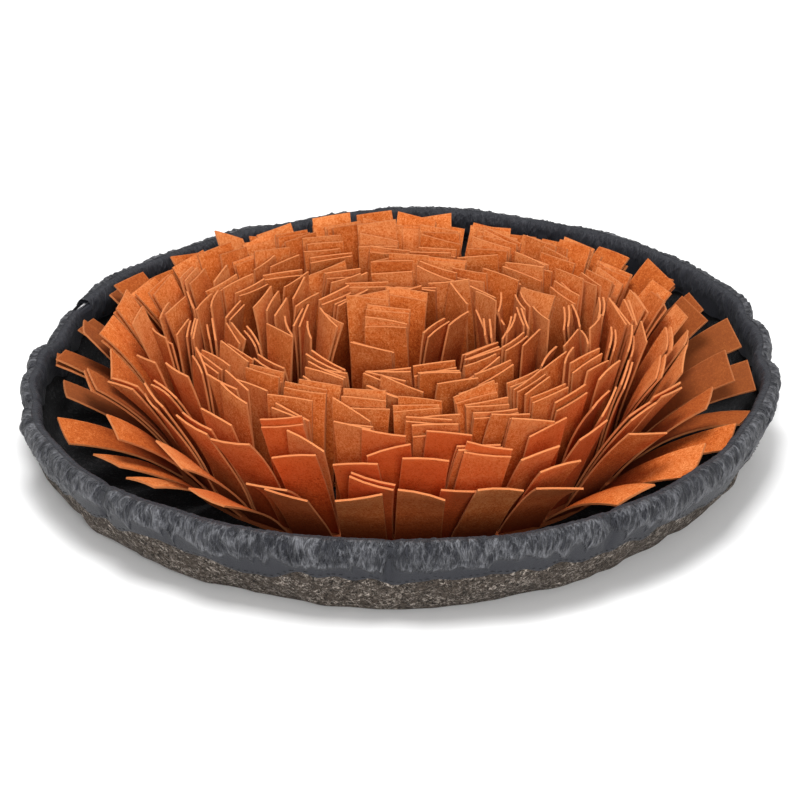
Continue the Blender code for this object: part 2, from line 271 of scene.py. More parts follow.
def makeOrangeFelt():
    finish = Finish("orangeFelt", **orangeFelt["surface"])
    finish.shader.inputs["Sheen Tint"].default_value = (*orangeFelt["sheen"], 1)
    where = finish.place()
    tintAndShade = finish.note("tintAndShade")
    grainPitch, grainShare = orangeFelt["grain"]
    fleckPitch, fleckShare = orangeFelt["fleck"]
    mottlePitch, mottleShare = orangeFelt["mottle"]
    grain = finish.cloud(where, grainPitch, detail=4.0, rough=0.8, swirl=1.0)
    fleck = finish.cloud(where, fleckPitch, detail=2.0, rough=0.6)
    mottle = finish.cloud(where, mottlePitch, detail=3.0, rough=0.6)
    flat = finish.layout("strip")
    along = finish.part(flat, "Y")
    share = (grain - 0.5) * grainShare + (fleck - 0.5) * fleckShare + (mottle - 0.5) * mottleShare
    share = share + (tintAndShade.smaller(1.0) - 0.5) * orangeFelt["tintShare"]
    # painted light: paler towards the end of each strip
    share = share + along.ramp(0.3, 1.1) * orangeFelt["tipShare"] + 0.3
    body = finish.blend(share.ramp(-0.25, 0.6), orangeFelt["deep"], orangeFelt["middle"])
    body = finish.blend(share.ramp(0.4, 1.35), body, orangeFelt["light"])
    # painted shade: the outermost strips at the sides are darker and browner
    body = finish.blend(tintAndShade.ramp(-1.2, 0.3) * 0.8 + 0.2, orangeFelt["brown"], body)
    # painted shade: the strips along the front are darker and redder
    paintedFrontShade = finish.blend(share.ramp(-0.2, 0.9), *orangeFelt["paintedFrontShade"])
    body = finish.blend(tintAndShade.ramp(0.9, 1.4) * 0.7, body, paintedFrontShade)
    # painted shade: darker towards the root, where the strips stand close
    body = finish.blend(along.ramp(-0.15, 0.65), orangeFelt["root"], body)
    fromSide = 0.5 - finish.part(flat, "X").off(0.5)
    fromTip = 1 - along
    rag = (fleck - 0.5) * orangeFelt["rag"]
    inside = (fromSide + rag).ramp(0.0, orangeFelt["sideEdge"])
    inside = inside.smaller((fromTip + rag * 0.4).ramp(0.0, orangeFelt["tipEdge"]))
    edge = (finish.note("cut") * (fleck * 0.5 + 0.5)).larger((1 - inside) * 0.4)
    colour = finish.blend(edge, body, orangeFelt["cut"])
    return finish.paint(colour, grain * 0.6 + fleck * 0.4, orangeFelt["relief"])


greyFelt = {
    "surface": {"roughness": 0.95, "sheen": 0.03, "sheenRoughness": 0.6, "specular": 0.1},
    "dark": (0.012, 0.010, 0.008),
    "brown": (0.072, 0.055, 0.043),
    "hair": (0.46, 0.40, 0.345),
    "inside": (0.010, 0.010, 0.011),  # the face that is turned to the strips is near black
    "insideHair": (0.045, 0.045, 0.048),
    "layout": (1300, 600),  # around the mat, and across both faces
    "lockPitch": 7.0,
    # hairs lie along slanting lines: turns, how they are drawn out, and the noise where they begin
    "strokes": [
        ((-45, 0, -54.7), (0.15, 0.62, 0.62), (0.55, 0.63)),
        ((-45, 0, 54.7), (0.17, 0.75, 0.75), (0.55, 0.64)),
        ((0, 12, 30), (0.22, 0.9, 0.9), (0.56, 0.66)),
    ],
    "relief": 1.0,
}


def makeGreyFelt():
    finish = Finish("greyFelt", **greyFelt["surface"])
    where = finish.place()
    lock = finish.cloud(where, greyFelt["lockPitch"], detail=3.0, rough=0.6, swirl=1.5)
    strokes = []
    hairs = []
    for turn, stretch, limits in greyFelt["strokes"]:
        drawn = finish.scaled(finish.turned(where, *turn), stretch)
        strokes.append(finish.cloud(drawn, 1.0, detail=3.0, rough=0.65, swirl=0.9))
        hairs.append(strokes[-1].ramp(*limits))
    hair = hairs[0].larger(hairs[1]).larger(hairs[2] * 0.8)
    shadow = strokes[0].smaller(strokes[1]).ramp(0.34, 0.49)
    edge = greyFelt["layout"][1] / 2
    inner = finish.part(finish.layout("cloth"), "Y").ramp(edge - 1, edge + 1)
    ground = finish.blend(shadow, greyFelt["dark"], greyFelt["brown"])
    ground = finish.blend(inner, ground, greyFelt["inside"])
    pale = finish.blend(inner, greyFelt["hair"], greyFelt["insideHair"])
    colour = finish.blend(hair * (lock.ramp(0.38, 0.6) * 0.75 + 0.1), ground, pale)
    return finish.paint(colour, shadow * 0.5 + hair * 0.5, greyFelt["relief"])


casingCloth = {
    "surface": {"roughness": 0.5, "sheen": 0.03, "sheenRoughness": 0.4, "specular": 0.25},
    "shade": (0.007, 0.007, 0.009),
    "face": (0.021, 0.022, 0.028),
    "paintedRidgeLight": (0.15, 0.152, 0.165),  # painted highlight, where the puckers stand out
    # crinkles across the rim, finer than the modelled puckers, drawn as relief and as lines of painted
    # highlight: turn, then how they are drawn out
    "crinkles": [(15, (0.36, 0.06, 1.0)), (-14, (0.40, 0.065, 1.0)), (3, (0.62, 0.09, 1.0))],
    "crinkleSharp": 12,
    "patchPitch": 12.0,
    "finePitch": 0.7,
    "relief": 1.8,
}


def makeCasingCloth():
    finish = Finish("casingCloth", **casingCloth["surface"])
    where = finish.place()
    cloth = finish.layout("cloth")
    creases = []
    for turn, stretch in casingCloth["crinkles"]:
        drawn = finish.scaled(finish.turned(cloth, 0, 0, turn), stretch)
        crinkle = finish.cloud(drawn, 1.0, detail=1.5, rough=0.5, swirl=0.25)
        creases.append((1 - crinkle.off(0.5) * casingCloth["crinkleSharp"]).larger(0.0))
    crease = creases[0].larger(creases[1]).larger(creases[2] * 0.8)
    patch = finish.cloud(where, casingCloth["patchPitch"], detail=2.0, rough=0.6).ramp(0.4, 0.58)
    fine = finish.cloud(where, casingCloth["finePitch"], detail=3.0, rough=0.75)
    ridge = finish.note("ridge")
    gather = finish.note("gather")
    # painted shade in the valleys between the puckers
    valleyShade = (1 - ridge) * gather
    # painted highlight on ridges, rims and crinkles, and painted light over the whole gathered part
    paintedHighlight = (ridge * 0.3 + crease * (patch * 0.3 + 0.34) + 0.1) * gather
    share = paintedHighlight - valleyShade * 0.15 + (fine - 0.5) * 0.9 + 0.2
    body = finish.blend(share.ramp(-0.2, 0.35), casingCloth["shade"], casingCloth["face"])
    colour = finish.blend(share.ramp(0.35, 1.25), body, casingCloth["paintedRidgeLight"])
    relief = (crease * 0.7 + ridge * 0.9) * gather + fine * 0.12
    return finish.paint(colour, relief, casingCloth["relief"])


hemThread = {
    "surface": {"roughness": 0.7, "specular": 0.3},
    "dark": (0.012, 0.012, 0.013),
    "pale": (0.045, 0.045, 0.048),
    "ply": 0.5,
    "relief": 0.08,
}


def makeThread():
    finish = Finish("hemThread", **hemThread["surface"])
    ply = finish.cloud(finish.place(), hemThread["ply"])
    colour = finish.blend(ply.ramp(0.3, 0.7), hemThread["dark"], hemThread["pale"])
    return finish.paint(colour, ply, hemThread["relief"])


cordBraid = {
    "surface": {"roughness": 0.7, "sheen": 0.1, "specular": 0.3},
    "gap": (0.14, 0.135, 0.14),
    "yarn": (0.55, 0.54, 0.55),
    "relief": 0.4,
}


def makeCordBraid():
    finish = Finish("cordBraid", **cordBraid["surface"])
    layout = finish.layout("cloth")
    along = finish.part(layout, "X")
    girth = finish.part(layout, "Y")
    left = ((along + girth) * math.pi).sine()
    right = ((along - girth) * math.pi).sine()
    weave = left * right * 0.5 + 0.5
    colour = finish.blend(weave.ramp(0.1, 0.6), cordBraid["gap"], cordBraid["yarn"])
    return finish.paint(colour, weave, cordBraid["relief"])


finishes = {
    "orangeFelt": makeOrangeFelt(),
    "greyFelt": makeGreyFelt(),
    "casingCloth": makeCasingCloth(),
    "thread": makeThread(),
    "cordBraid": makeCordBraid(),
}
print("finishes made")


# The wall that the felt, the casing and the cord all follow

wall = {
    "felt": 3.0,  # thickness
    "edgeDrop": 7.6,  # from the crest down to the felt's edge
    "rippleCounts": (11, 17, 26),  # waves round the rim
    "rippleDepth": 0.9,
    "waveShift": 2.1,
    "noiseRing": 200,  # radius on which a noise's pitch is counted
    # angle, foot's radius, crest's radius, crest's height
    "sections": [
        (0, 187, 207, 48),
        (22.5, 187, 212, 50),
        (45, 186, 212, 50),
        (67.5, 184, 207, 51),
        (90, 184, 207, 51),
        (112.5, 184, 199, 50),
        (135, 186, 199, 50),
        (152, 188, 200, 51),
        (167, 192, 202, 46),
        (182, 193, 207, 47),
        (202.5, 191, 212, 48),
        (225, 188, 213, 49),
        (247.5, 185, 209, 49),
        (270, 188, 208, 50),
        (292.5, 181, 210, 50),
        (315, 175, 206, 50),
        (337.5, 178, 204, 49),
    ],
    # where the rim is pinched: angle, width, how far inward and how far down
    "pinches": [
        (268.5, 2.6, 2.2, 1.0),
        (15.5, 3.0, 2.0, 1.8),
        (2.0, 2.6, 1.8, 1.0),
        (172.0, 3.0, 2.0, 1.6),
        (181.0, 3.0, 1.8, 1.4),
        (193.0, 3.5, 1.6, 0.6),
        (224.0, 3.0, 1.2, 0.8),
        (301.0, 3.0, 1.4, 0.6),
    ],
}


def smooth(share):
    share = min(1.0, max(0.0, share))
    return share * share * (3 - 2 * share)


def polar(angle, radius, height=0.0):
    turn = math.radians(angle)
    return Vector((radius * math.cos(turn), radius * math.sin(turn), height))


def turnFrom(start, angle):  # the short way round, in degrees
    return (angle - start + 180) % 360 - 180


def section(angle):  # the foot's radius, the crest's radius and the crest's height in a direction
    angle %= 360
    rows = wall["sections"]
    low = max(i for i, row in enumerate(rows) if row[0] <= angle)
    high = (low + 1) % len(rows)
    span = (rows[high][0] - rows[low][0]) % 360
    share = smooth((angle - rows[low][0]) / span)
    return [a * (1 - share) + b * share for a, b in zip(rows[low][1:], rows[high][1:])]


def waves(angle, counts):
    total = sum(math.sin((math.radians(angle) + wall["waveShift"]) * count) for count in counts)
    return total / math.sqrt(2 * len(counts))


def pinched(angle, column):
    total = 0.0
    for row in wall["pinches"]:
        away = turnFrom(row[0], angle) / row[1]
        total += row[column] * math.exp(-away * away)
    return total


def crestHeight(angle):
    return section(angle)[2] - pinched(angle, 3)


def wallPoint(angle, height, across):  # a quarter of an ellipse from the floor up to the crest
    foot, crest, top = section(angle)
    top -= pinched(angle, 3)
    climb = math.acos(max(-1.0, 1 - height / top))
    rise = math.sin(climb)
    reach = crest - foot + waves(angle, wall["rippleCounts"]) * wall["rippleDepth"] * rise
    reach -= pinched(angle, 2) * rise
    normal = Vector((top * rise, -reach * math.cos(climb))).normalized()
    middle = wall["felt"] / 2
    return polar(angle, foot + reach * rise + across * normal.x, height + middle + across * normal.y)


def ringNoise(angle, pitch, level, seed=0.0):  # noise that closes round the mat, read at a level
    spot = polar(angle, wall["noiseRing"] / pitch, level)
    return noise.noise(spot + Vector((seed, seed * 2, seed * 3)))


# Making pieces

def deselect():
    bpy.ops.object.select_all(action="DESELECT")


def pick(*pieces):
    deselect()
    for piece in pieces:
        piece.select_set(True)
    bpy.context.view_layer.objects.active = pieces[0]


def editAll(piece):
    pick(piece)
    bpy.ops.object.mode_set(mode="EDIT")
    bpy.ops.mesh.select_all(action="SELECT")


def leaveEdit():
    bpy.ops.object.mode_set(mode="OBJECT")


def smoothShade(piece, angle):
    pick(piece)
    bpy.ops.object.shade_smooth_by_angle(angle=math.radians(angle))


def fit(piece, slot, finish, *nodes):
    piece.data.materials.clear()
    piece.data.materials.append(finishes[finish])
    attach(piece, "root")
    if nodes:
        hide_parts(*nodes)


def roundPiece(name, columns, rows, place, stretch):  # a grid wrapped round the mat, row by row
    deselect()
    bpy.ops.mesh.primitive_grid_add(x_subdivisions=columns, y_subdivisions=rows, size=1)
    piece = bpy.context.object
    piece.name = name
    cloth = piece.data.uv_layers[0]
    cloth.name = "cloth"
    for corner in cloth.data:
        corner.uv = (corner.uv.x * stretch[0], corner.uv.y * stretch[1])
    for point in piece.data.vertices:
        point.co = place(point.co.x + 0.5, round((point.co.y + 0.5) * rows)) * mm
    editAll(piece)
    bpy.ops.mesh.remove_doubles(threshold=merge)
    bpy.ops.mesh.normals_make_consistent(inside=False)
    leaveEdit()
    return piece


# The felt tray

tray = {
    "columns": 480,
    "floorRings": 7,
    "wallSteps": 16,
    "closer": 1.5,  # how much closer the steps are near the floor
    "bulge": 3.04,  # how far the felt swells and dents between the floor and the casing
    "bulgePitch": 26,
    "dentPitch": 11,
    "bulgeFade": 7,
    "casingHem": 27,  # below the crest, where the casing holds the felt still
    "flat": 480,  # the felt's disc before its edge was drawn up
    "smooth": 50,  # edges that are flatter than this are shaded smooth
}


def trayRows():  # the felt's section, from the middle of its underside round to the middle of its top
    rings = [i / tray["floorRings"] for i in range(tray["floorRings"])]
    climb = [i / tray["wallSteps"] for i in range(tray["wallSteps"] + 1)]
    under = [("floor", share, -1) for share in rings] + [("wall", share, -1) for share in climb]
    over = [(kind, share, 1) for kind, share, _ in reversed(under)]
    return under + over


def feltBulge(angle, height, top):
    fade = tray["bulgeFade"]
    free = smooth(height / fade) * smooth((top - tray["casingHem"] - height) / fade)
    swell = ringNoise(angle, tray["bulgePitch"], height / 24)
    swell += 0.5 * ringNoise(angle, tray["dentPitch"], height / 14, 3)
    return tray["bulge"] * free * swell


def makeTray():
    rows = trayRows()
    half = wall["felt"] / 2

    def place(around, row):
        angle = around * 360
        kind, share, side = rows[row]
        if kind == "floor":
            return polar(angle, section(angle)[0] * share, half + side * half)
        top = crestHeight(angle)
        height = share ** tray["closer"] * (top - wall["edgeDrop"] - half)
        across = feltBulge(angle, height, top) - side * half
        point = wallPoint(angle, height, across)
        point.z = max(0.0, point.z)
        return point

    piece = roundPiece("feltTray", tray["columns"], len(rows) - 1, place, greyFelt["layout"])
    smoothShade(piece, tray["smooth"])
    fit(piece, "grey_felt", "greyFelt", "felt_tray")
    return piece


feltTray = makeTray()
print("felt tray made:", len(feltTray.data.polygons), "faces")


# The gathered casing

casing = {
    "columns": 2100,
    "steps": 34,  # across the cloth's outer face
    "mouth": 159.5,  # where the drawcord shows between the casing's two ends
    "mouthWidth": 12,
    "gatherCounts": (41, 31, 23),
    "gatherDepth": 0.9,
    "hemCounts": (5, 9, 14),
    "hemWave": 2.6,
    "hemDips": (14, 5.0),  # pitch and depth of the hem's smaller dips
    "hemDrop": 18,
    "around": 1320,
    "across": 56,
    # how far the cloth stands out in its puckers: pitch, depth and sharpness of each kind,
    # or pitch and depth alone
    "pucker": (5.0, 0.7, 4.5),
    "leanPucker": (8.5, 0.9, 6.0),
    "finePucker": (2.4, 0.3, 4.5),
    "lump": (19, 0.7),
    "sag": (40, 1.5),
    "tuck": (0.9, 2.6),  # width in degrees and depth of the folds where the rim is pinched, which also get painted shade
    "lean": ((30, 1.3), (11, 1.1)),  # pitch and degrees by which the puckers wander from upright
    "slopes": (-0.12, 0.14),  # degrees in a millimetre by which the crossing puckers lean
    "patch": (26, 0.55, 0.9),  # pitch, least depth and added depth of their patches
    "past": (0.2, 0.35),  # shares of the crossing puckers and of the lumps past the gathered part
    "ridgeShares": (0.5, 0.6, 0.3),  # how much each kind of pucker counts as a ridge, which gets painted highlight
    "inner": 0.3,  # share of the painted highlight, painted shade and bump relief of the puckers on the side that is turned to the strips
    "smoothFrom": 7,  # below the crest, where the puckers end on the outside
    "fade": 3.5,
    "finger": (11, 8.0, 2.2),  # pointed ends of the gathered cloth: pitch, length and sharpness
    "fingerRim": (1.8, 0.6),  # width and depth of the ridge round each of them
    # the outer face: across from the wall's middle, drop below the crest, share of the puckers
    "outside": [
        (3.1, 21.5, 0.1),
        (3.8, 15.0, 0.6),
        (5.2, 7.0, 1.0),
        (3.6, 1.2, 0.7),
        (0.0, 0.0, 0.15),
        (-3.6, 1.2, 0.3),
        (-5.0, 7.5, 0.35),
        (-3.1, 20.0, 0.1),
    ],
    "inside": [
        (-2.1, 20.0),
        (-3.6, 7.5),
        (-2.8, 2.2),
        (2.8, 2.2),
        (4.0, 7.0),
        (2.1, 21.5),
    ],
    "smooth": 75,
}


def curve(points, share):  # a smooth line through points, read at a share of its length
    steps = len(points) - 1
    at = min(steps - 1e-6, share * steps)
    i = int(at)
    t = at - i
    a, b, c, d = (Vector(points[min(steps, max(0, i + k))]) for k in (-1, 0, 1, 2))
    bend = (2 * a - 5 * b + 4 * c - d) * t * t + (3 * b - a - 3 * c + d) * t ** 3
    return 0.5 * (2 * b + (c - a) * t + bend)


def hemWander(angle):  # how far the stitched edge lies below its mean
    pitch, deep = casing["hemDips"]
    return casing["hemWave"] * waves(angle, casing["hemCounts"]) + deep * ringNoise(angle, pitch, 0, 21)


def casingRows():  # the cloth's section: its outer face, then back along its inner one
    rows = []
    for i in range(casing["steps"] + 1):
        share = i / casing["steps"]
        spot = curve(casing["outside"], share)
        before = curve(casing["outside"], max(0, share - 0.01))
        ahead = curve(casing["outside"], min(1, share + 0.01)) - before
        out = Vector((-ahead.y, ahead.x)).normalized()
        rows.append((spot.x, spot.y, max(0.0, spot.z), out.x, out.y))
    rows += [(across, drop, 0.0, 0.0, 0.0) for across, drop in casing["inside"]]
    rows.append(rows[0])
    return rows


def fold(value, sharp):  # a sharp fold where a noise changes its sign
    return max(0.0, 1 - abs(value) * sharp)


def pucker(angle, drop, outer):  # how far the cloth stands out, how gathered it is, and its ridges
    level = drop / 10 if outer else 7 - drop / 10
    (farPitch, farLean), (nearPitch, nearLean) = casing["lean"]
    lean = farLean * ringNoise(angle, farPitch, 0, 7) + nearLean * ringNoise(angle, nearPitch, 2, 8)
    lean = lean * drop / 6
    turned = angle + lean
    pitch, deep, sharp = casing["pucker"]
    leanPitch, leanDeep, leanSharp = casing["leanPucker"]
    finePitch, fineDeep, fineSharp = casing["finePucker"]
    lumpPitch, lumpDeep = casing["lump"]
    sagPitch, sagDeep = casing["sag"]
    left, right = casing["slopes"]
    patchPitch, patchLeast, patchMore = casing["patch"]
    patch = patchLeast + patchMore * abs(ringNoise(angle, patchPitch, level * 0.4, 4))
    fingerPitch, fingerLong, fingerSharp = casing["finger"]
    rimWide, rimDeep = casing["fingerRim"]
    edge = casing["smoothFrom"] + fingerLong * fold(ringNoise(turned, fingerPitch, 0, 13), fingerSharp)
    gather = 1 - smooth((drop - edge) / casing["fade"] + 0.5)
    rim = math.exp(-(((drop - edge) / rimWide) ** 2)) if outer else 0.0
    main = fold(ringNoise(turned, pitch, level * 0.55, 2), sharp)
    fine = fold(ringNoise(turned, finePitch, level * 0.8, 5), fineSharp)
    slant = fold(ringNoise(angle - 1.6 * lean + drop * left, leanPitch, level * 0.5, 17), leanSharp)
    slant = max(slant, fold(ringNoise(angle + drop * right, leanPitch, level * 0.5, 18), leanSharp))
    swell = gather * patch * (deep * main + fineDeep * fine - 0.5 * deep)
    leanPast, lumpPast = (past + (1 - past) * gather for past in casing["past"])
    swell += leanPast * patch * leanDeep * slant + rimDeep * rim
    swell += lumpPast * lumpDeep * ringNoise(angle + 0.5 * lean, lumpPitch, level * 0.5, 9)
    swell += sagDeep * ringNoise(angle, sagPitch, drop / 25, 15)
    tuckWide, tuckDeep = casing["tuck"]
    tuck = 0.0
    for row in wall["pinches"]:
        away = turnFrom(row[0], angle + 0.4 * lean) / tuckWide
        tuck += math.exp(-away * away)
    swell -= tuckDeep * tuck
    # less painted highlight and painted shade on the side that is turned to the strips
    if not outer:
        gather *= casing["inner"]
    mainShare, slantShare, fineShare = casing["ridgeShares"]
    ridge = min(1.0, main * mainShare + slant * slantShare + fine * fineShare + rim)
    gather = max(gather, rim)
    # the tucks take away the ridges and their painted highlight, leaving painted shade
    return swell, gather, max(0.0, ridge - tuck)


def makeCasing():
    rows = casingRows()
    crest = section(casing["mouth"])[1]
    half = math.degrees(casing["mouthWidth"] / 2 / crest)
    notes = {}

    def place(around, row):
        angle = casing["mouth"] + half + around * (360 - 2 * half)
        across, drop, share, outX, outY = rows[row]
        top = crestHeight(angle)
        swell = gather = ridge = 0.0
        if share > 0:
            swell, gather, ridge = pucker(angle, drop, across > 0)
            swell *= min(1.0, share * 1.5)
        swell += share * casing["gatherDepth"] * (1 + waves(angle, casing["gatherCounts"])) / 2
        if drop > casing["hemDrop"]:
            drop += hemWander(angle)
        point = wallPoint(angle, top - wall["felt"] / 2 - drop - outY * swell, across + outX * swell)
        notes[(round(point.x, 1), round(point.y, 1), round(point.z, 1))] = (ridge, gather)
        return point

    layout = (casing["around"], casing["across"])
    piece = roundPiece("gatheredCasing", casing["columns"], len(rows) - 1, place, layout)
    editAll(piece)
    bpy.ops.mesh.select_all(action="DESELECT")
    bpy.ops.mesh.select_non_manifold()  # its two ends at the mouth
    bpy.ops.mesh.fill()
    bpy.ops.mesh.select_all(action="SELECT")
    bpy.ops.mesh.normals_make_consistent(inside=False)
    leaveEdit()
    ridges = piece.data.attributes.new("ridge", "FLOAT", "POINT")
    gathers = piece.data.attributes.new("gather", "FLOAT", "POINT")
    for i, point in enumerate(piece.data.vertices):
        spot = point.co / mm
        note = notes.get((round(spot.x, 1), round(spot.y, 1), round(spot.z, 1)), (0.5, 0.0))
        ridges.data[i].value, gathers.data[i].value = note
    smoothShade(piece, casing["smooth"])
    fit(piece, "casing_cloth", "casingCloth", "rim_casing")
    return piece


gatheredCasing = makeCasing()
print("casing gathered:", len(gatheredCasing.data.polygons), "faces")


stitches = {
    "pitch": 3.6,
    "long": 2.6,
    "thick": 0.45,
    "drop": 20.0,
    "across": 3.5,
    "ring": 208,  # radius on which the pitch is counted
    "mouthRing": 200,  # radius at the casing's mouth
    "mouthClear": 0.5,  # degrees without a stitch at each end of the casing
    "early": 0.15,  # share of the pitch by which a stitch is early or late
    "wander": 0.3,
    "tilt": 0.25,
    "lengths": (0.7, 1.1),
    "follow": 0.25,  # share of the puckers that the stitches follow
    "smooth": 80,
}


def makeStitches():
    deselect()
    bpy.ops.mesh.primitive_uv_sphere_add(segments=6, ring_count=4, radius=0.5)
    pattern = bpy.context.object
    count = round(2 * math.pi * stitches["ring"] / stitches["pitch"])
    chance = random.Random(5)
    sewn = []
    gap = math.degrees(casing["mouthWidth"] / 2 / stitches["mouthRing"]) + stitches["mouthClear"]
    early, wander, tilt, across = (stitches[name] for name in ("early", "wander", "tilt", "across"))
    for i in range(count):
        angle = 360 * (i + chance.uniform(-early, early)) / count
        if abs(turnFrom(casing["mouth"], angle)) < gap:
            continue
        drop = stitches["drop"] + hemWander(angle) + chance.uniform(-wander, wander)
        height = crestHeight(angle) - wall["felt"] / 2 - drop
        swell = stitches["follow"] * pucker(angle, drop, True)[0]
        middle = wallPoint(angle, height, across + swell)
        ahead = wallPoint(angle + 0.5, height, across) - wallPoint(angle - 0.5, height, across)
        ahead = (ahead.normalized() + up * chance.uniform(-tilt, tilt)).normalized()
        out = polar(angle, 1)
        rise = ahead.cross(out).normalized()
        long = stitches["long"] * chance.uniform(*stitches["lengths"])
        stitch = pattern.copy()
        stitch.data = pattern.data.copy()
        for point in stitch.data.vertices:
            local = point.co
            spot = middle + ahead * local.x * long + out * local.y * stitches["thick"]
            point.co = (spot + rise * local.z * stitches["thick"]) * mm
        bpy.context.collection.objects.link(stitch)
        sewn.append(stitch)
    bpy.data.objects.remove(pattern)
    pick(*sewn)
    bpy.ops.object.join()
    piece = bpy.context.object
    piece.name = "hemStitches"
    smoothShade(piece, stitches["smooth"])
    fit(piece, "casing_cloth", "thread")
    return piece


hemStitches = makeStitches()
print("hem stitched:", len(hemStitches.data.polygons), "faces")


# The drawcord on the felt's edge

cord = {
    "radius": 2.2,
    "segments": 360,
    "sides": 12,
    "gap": 0.3,  # between it and the felt's edge
    "crossing": 3.1,  # length of one crossing of the braid
    "crossingsRound": 4,
    "ring": 205,  # radius on which the crossings are counted
    "smooth": 80,
}


def makeCord():
    deselect()
    bpy.ops.mesh.primitive_torus_add(
        major_segments=cord["segments"], minor_segments=cord["sides"], major_radius=1, minor_radius=0.5
    )
    piece = bpy.context.object
    piece.name = "drawCord"
    drop = wall["edgeDrop"] - cord["gap"] - cord["radius"]
    for point in piece.data.vertices:
        angle = math.degrees(math.atan2(point.co.y, point.co.x))
        middle = wallPoint(angle, crestHeight(angle) - drop - wall["felt"] / 2, 0)
        side = (point.co.xy.length - 1) * 2
        point.co = (middle + (polar(angle, side) + up * point.co.z * 2) * cord["radius"]) * mm
    braid = piece.data.uv_layers[0]
    braid.name = "cloth"
    turns = 2 * math.pi * cord["ring"] / cord["crossing"]
    for corner in braid.data:
        corner.uv = (corner.uv.x * turns, corner.uv.y * cord["crossingsRound"])
    smoothShade(piece, cord["smooth"])
    fit(piece, "cord", "cordBraid", "drawcord")
    return piece


drawCord = makeCord()
print("drawcord laid")


# The felt strips, read from the solids that they replace

strip = {
    "wide": 24.2,
    "thick": 1.05,
    "cellsAcross": 3,
    "cellsAlong": 9,
    "seamTop": 5.3,  # top of the backing strips
    "seamLow": 3.3,
    "readAbove": 0.05,  # how far above the backing its solid is cut, to read its root
    "sink": 0.4,  # how deep a strip's root goes into its backing
    "widths": (0.95, 1.03),
    "lengths": (0.95, 1.02),
    "cup": 1.0,  # how far its sides curl
    "wave": 0.6,
    "curl": 2.8,  # how far its end bends away from the solid's
    "curlSpread": 0.5,
    "curlFrom": (0.35, 0.42),  # where along it that begins, and about the square of what is left
    "turn": 15.0,  # how far its end turns
    "slant": 8.0,  # how far off square its end is cut
    "slantSpread": 0.6,
    "slantFrom": 0.6,
    "freeFrom": 0.4,  # from here on it bends fully, and towards its root less and less
    "twins": 0.65,  # share of the strips that get a second one close behind, where there is room
    "rimTwins": 0.25,  # the same for the outermost strips
    "behind": (1.3, 1.9),  # how far behind it stands, at its root and at its end
    "fan": 1.5,  # how much further its end may bend away
    "twinShort": 0.02,  # share by which it is shorter
    "eased": (1.0, 0.7, 0.4, 0.15, 0.0),  # a strip that meets another one is bent less and less
    "easedShort": 0.06,  # and made shorter, by this share when it isn't bent at all
    "overhang": 0.07,  # how much further the outermost strips reach at the sides
    "backHang": -0.06,  # and at the back
    "sideShadeTone": -1.0,  # painted shade: the outermost strips are darker and browner at the sides
    "frontShadeTone": 1.1,  # painted shade: darker and redder in front, as the next row is
    "smooth": 40,
}


def cutPattern():  # a flat strip of size 1: x across and z through it, about 0, and y along it from 0
    deselect()
    cells = {"x_subdivisions": strip["cellsAcross"], "y_subdivisions": strip["cellsAlong"]}
    bpy.ops.mesh.primitive_grid_add(size=1, **cells)
    pattern = bpy.context.object
    pattern.name = "stripPattern"
    pattern.data.uv_layers[0].name = "strip"
    bpy.ops.object.mode_set(mode="EDIT")
    bpy.ops.mesh.select_all(action="SELECT")
    bpy.ops.transform.translate(value=(0, 0.5, -0.5))
    bpy.ops.mesh.extrude_region_move(TRANSFORM_OT_translate={"value": (0, 0, 1)})
    bpy.ops.mesh.select_all(action="SELECT")
    bpy.ops.mesh.normals_make_consistent(inside=False)
    leaveEdit()
    cut = pattern.data.attributes.new("cut", "FLOAT", "FACE")
    for i, face in enumerate(pattern.data.polygons):
        cut.data[i].value = 0.0 if abs(face.normal.z) > 0.5 else 1.0
    pattern.data.attributes.new("tintAndShade", "FLOAT", "FACE")
    return pattern


def island(start, seen):  # the points that hang together with one
    found = []
    waiting = [start]
    seen.add(start)
    while waiting:
        point = waiting.pop()
        found.append(point)
        for edge in point.link_edges:
            other = edge.other_vert(point)
            if other not in seen:
                seen.add(other)
                waiting.append(other)
    return found


def crossSection(points, wide):  # the middle and the width direction of four corners
    middle = sum((point.co for point in points), Vector()) / len(points)
    first = points[0].co
    far = sorted(points[1:], key=lambda point: (point.co - first).length)
    across = far[1].co - first
    if across.dot(wide) < 0:
        across = -across
    return middle, across.normalized()


def readStrips(node):  # three cross-sections of each strip: root, middle and tip
    work = bmesh.new()
    work.from_mesh(node.data)
    bmesh.ops.remove_doubles(work, verts=work.verts, dist=merge)
    cutAt = (strip["seamTop"] + strip["readAbove"]) * mm
    parts = work.verts[:] + work.edges[:] + work.faces[:]
    bmesh.ops.bisect_plane(work, geom=parts, plane_co=(0, 0, cutAt), plane_no=up, clear_inner=True)
    strips = []
    seen = set()
    for start in work.verts:
        if start in seen:
            continue
        points = island(start, seen)
        root = [point for point in points if point.co.z < cutAt + merge]
        middle = [p for p in points if p not in root and any(e.other_vert(p) in root for e in p.link_edges)]
        tip = [p for p in points if p not in root and p not in middle]
        spot = sum((point.co for point in root), Vector()) / len(root)
        facing = Vector((-spot.y, spot.x, 0)).normalized()
        middleAt, middleWide = crossSection(middle, facing)
        tipAt, tipWide = crossSection(tip, middleWide)
        flat = (middleWide - up * middleWide.z).normalized()
        reach = [point.co.dot(flat) for point in root]
        face = up.cross(flat)
        depth = [point.co.dot(face) for point in root]
        rootAt = flat * (min(reach) + max(reach)) / 2 + face * (min(depth) + max(depth)) / 2 + up * cutAt
        strips.append(((rootAt, flat), (middleAt, middleWide), (tipAt, tipWide)))
    work.free()
    return strips


def between(values, share):  # a smooth line through three values at 0, 0.5 and 1
    a, b, c = values
    return a * (2 * share - 1) * (share - 1) + b * 4 * share * (1 - share) + c * share * (2 * share - 1)


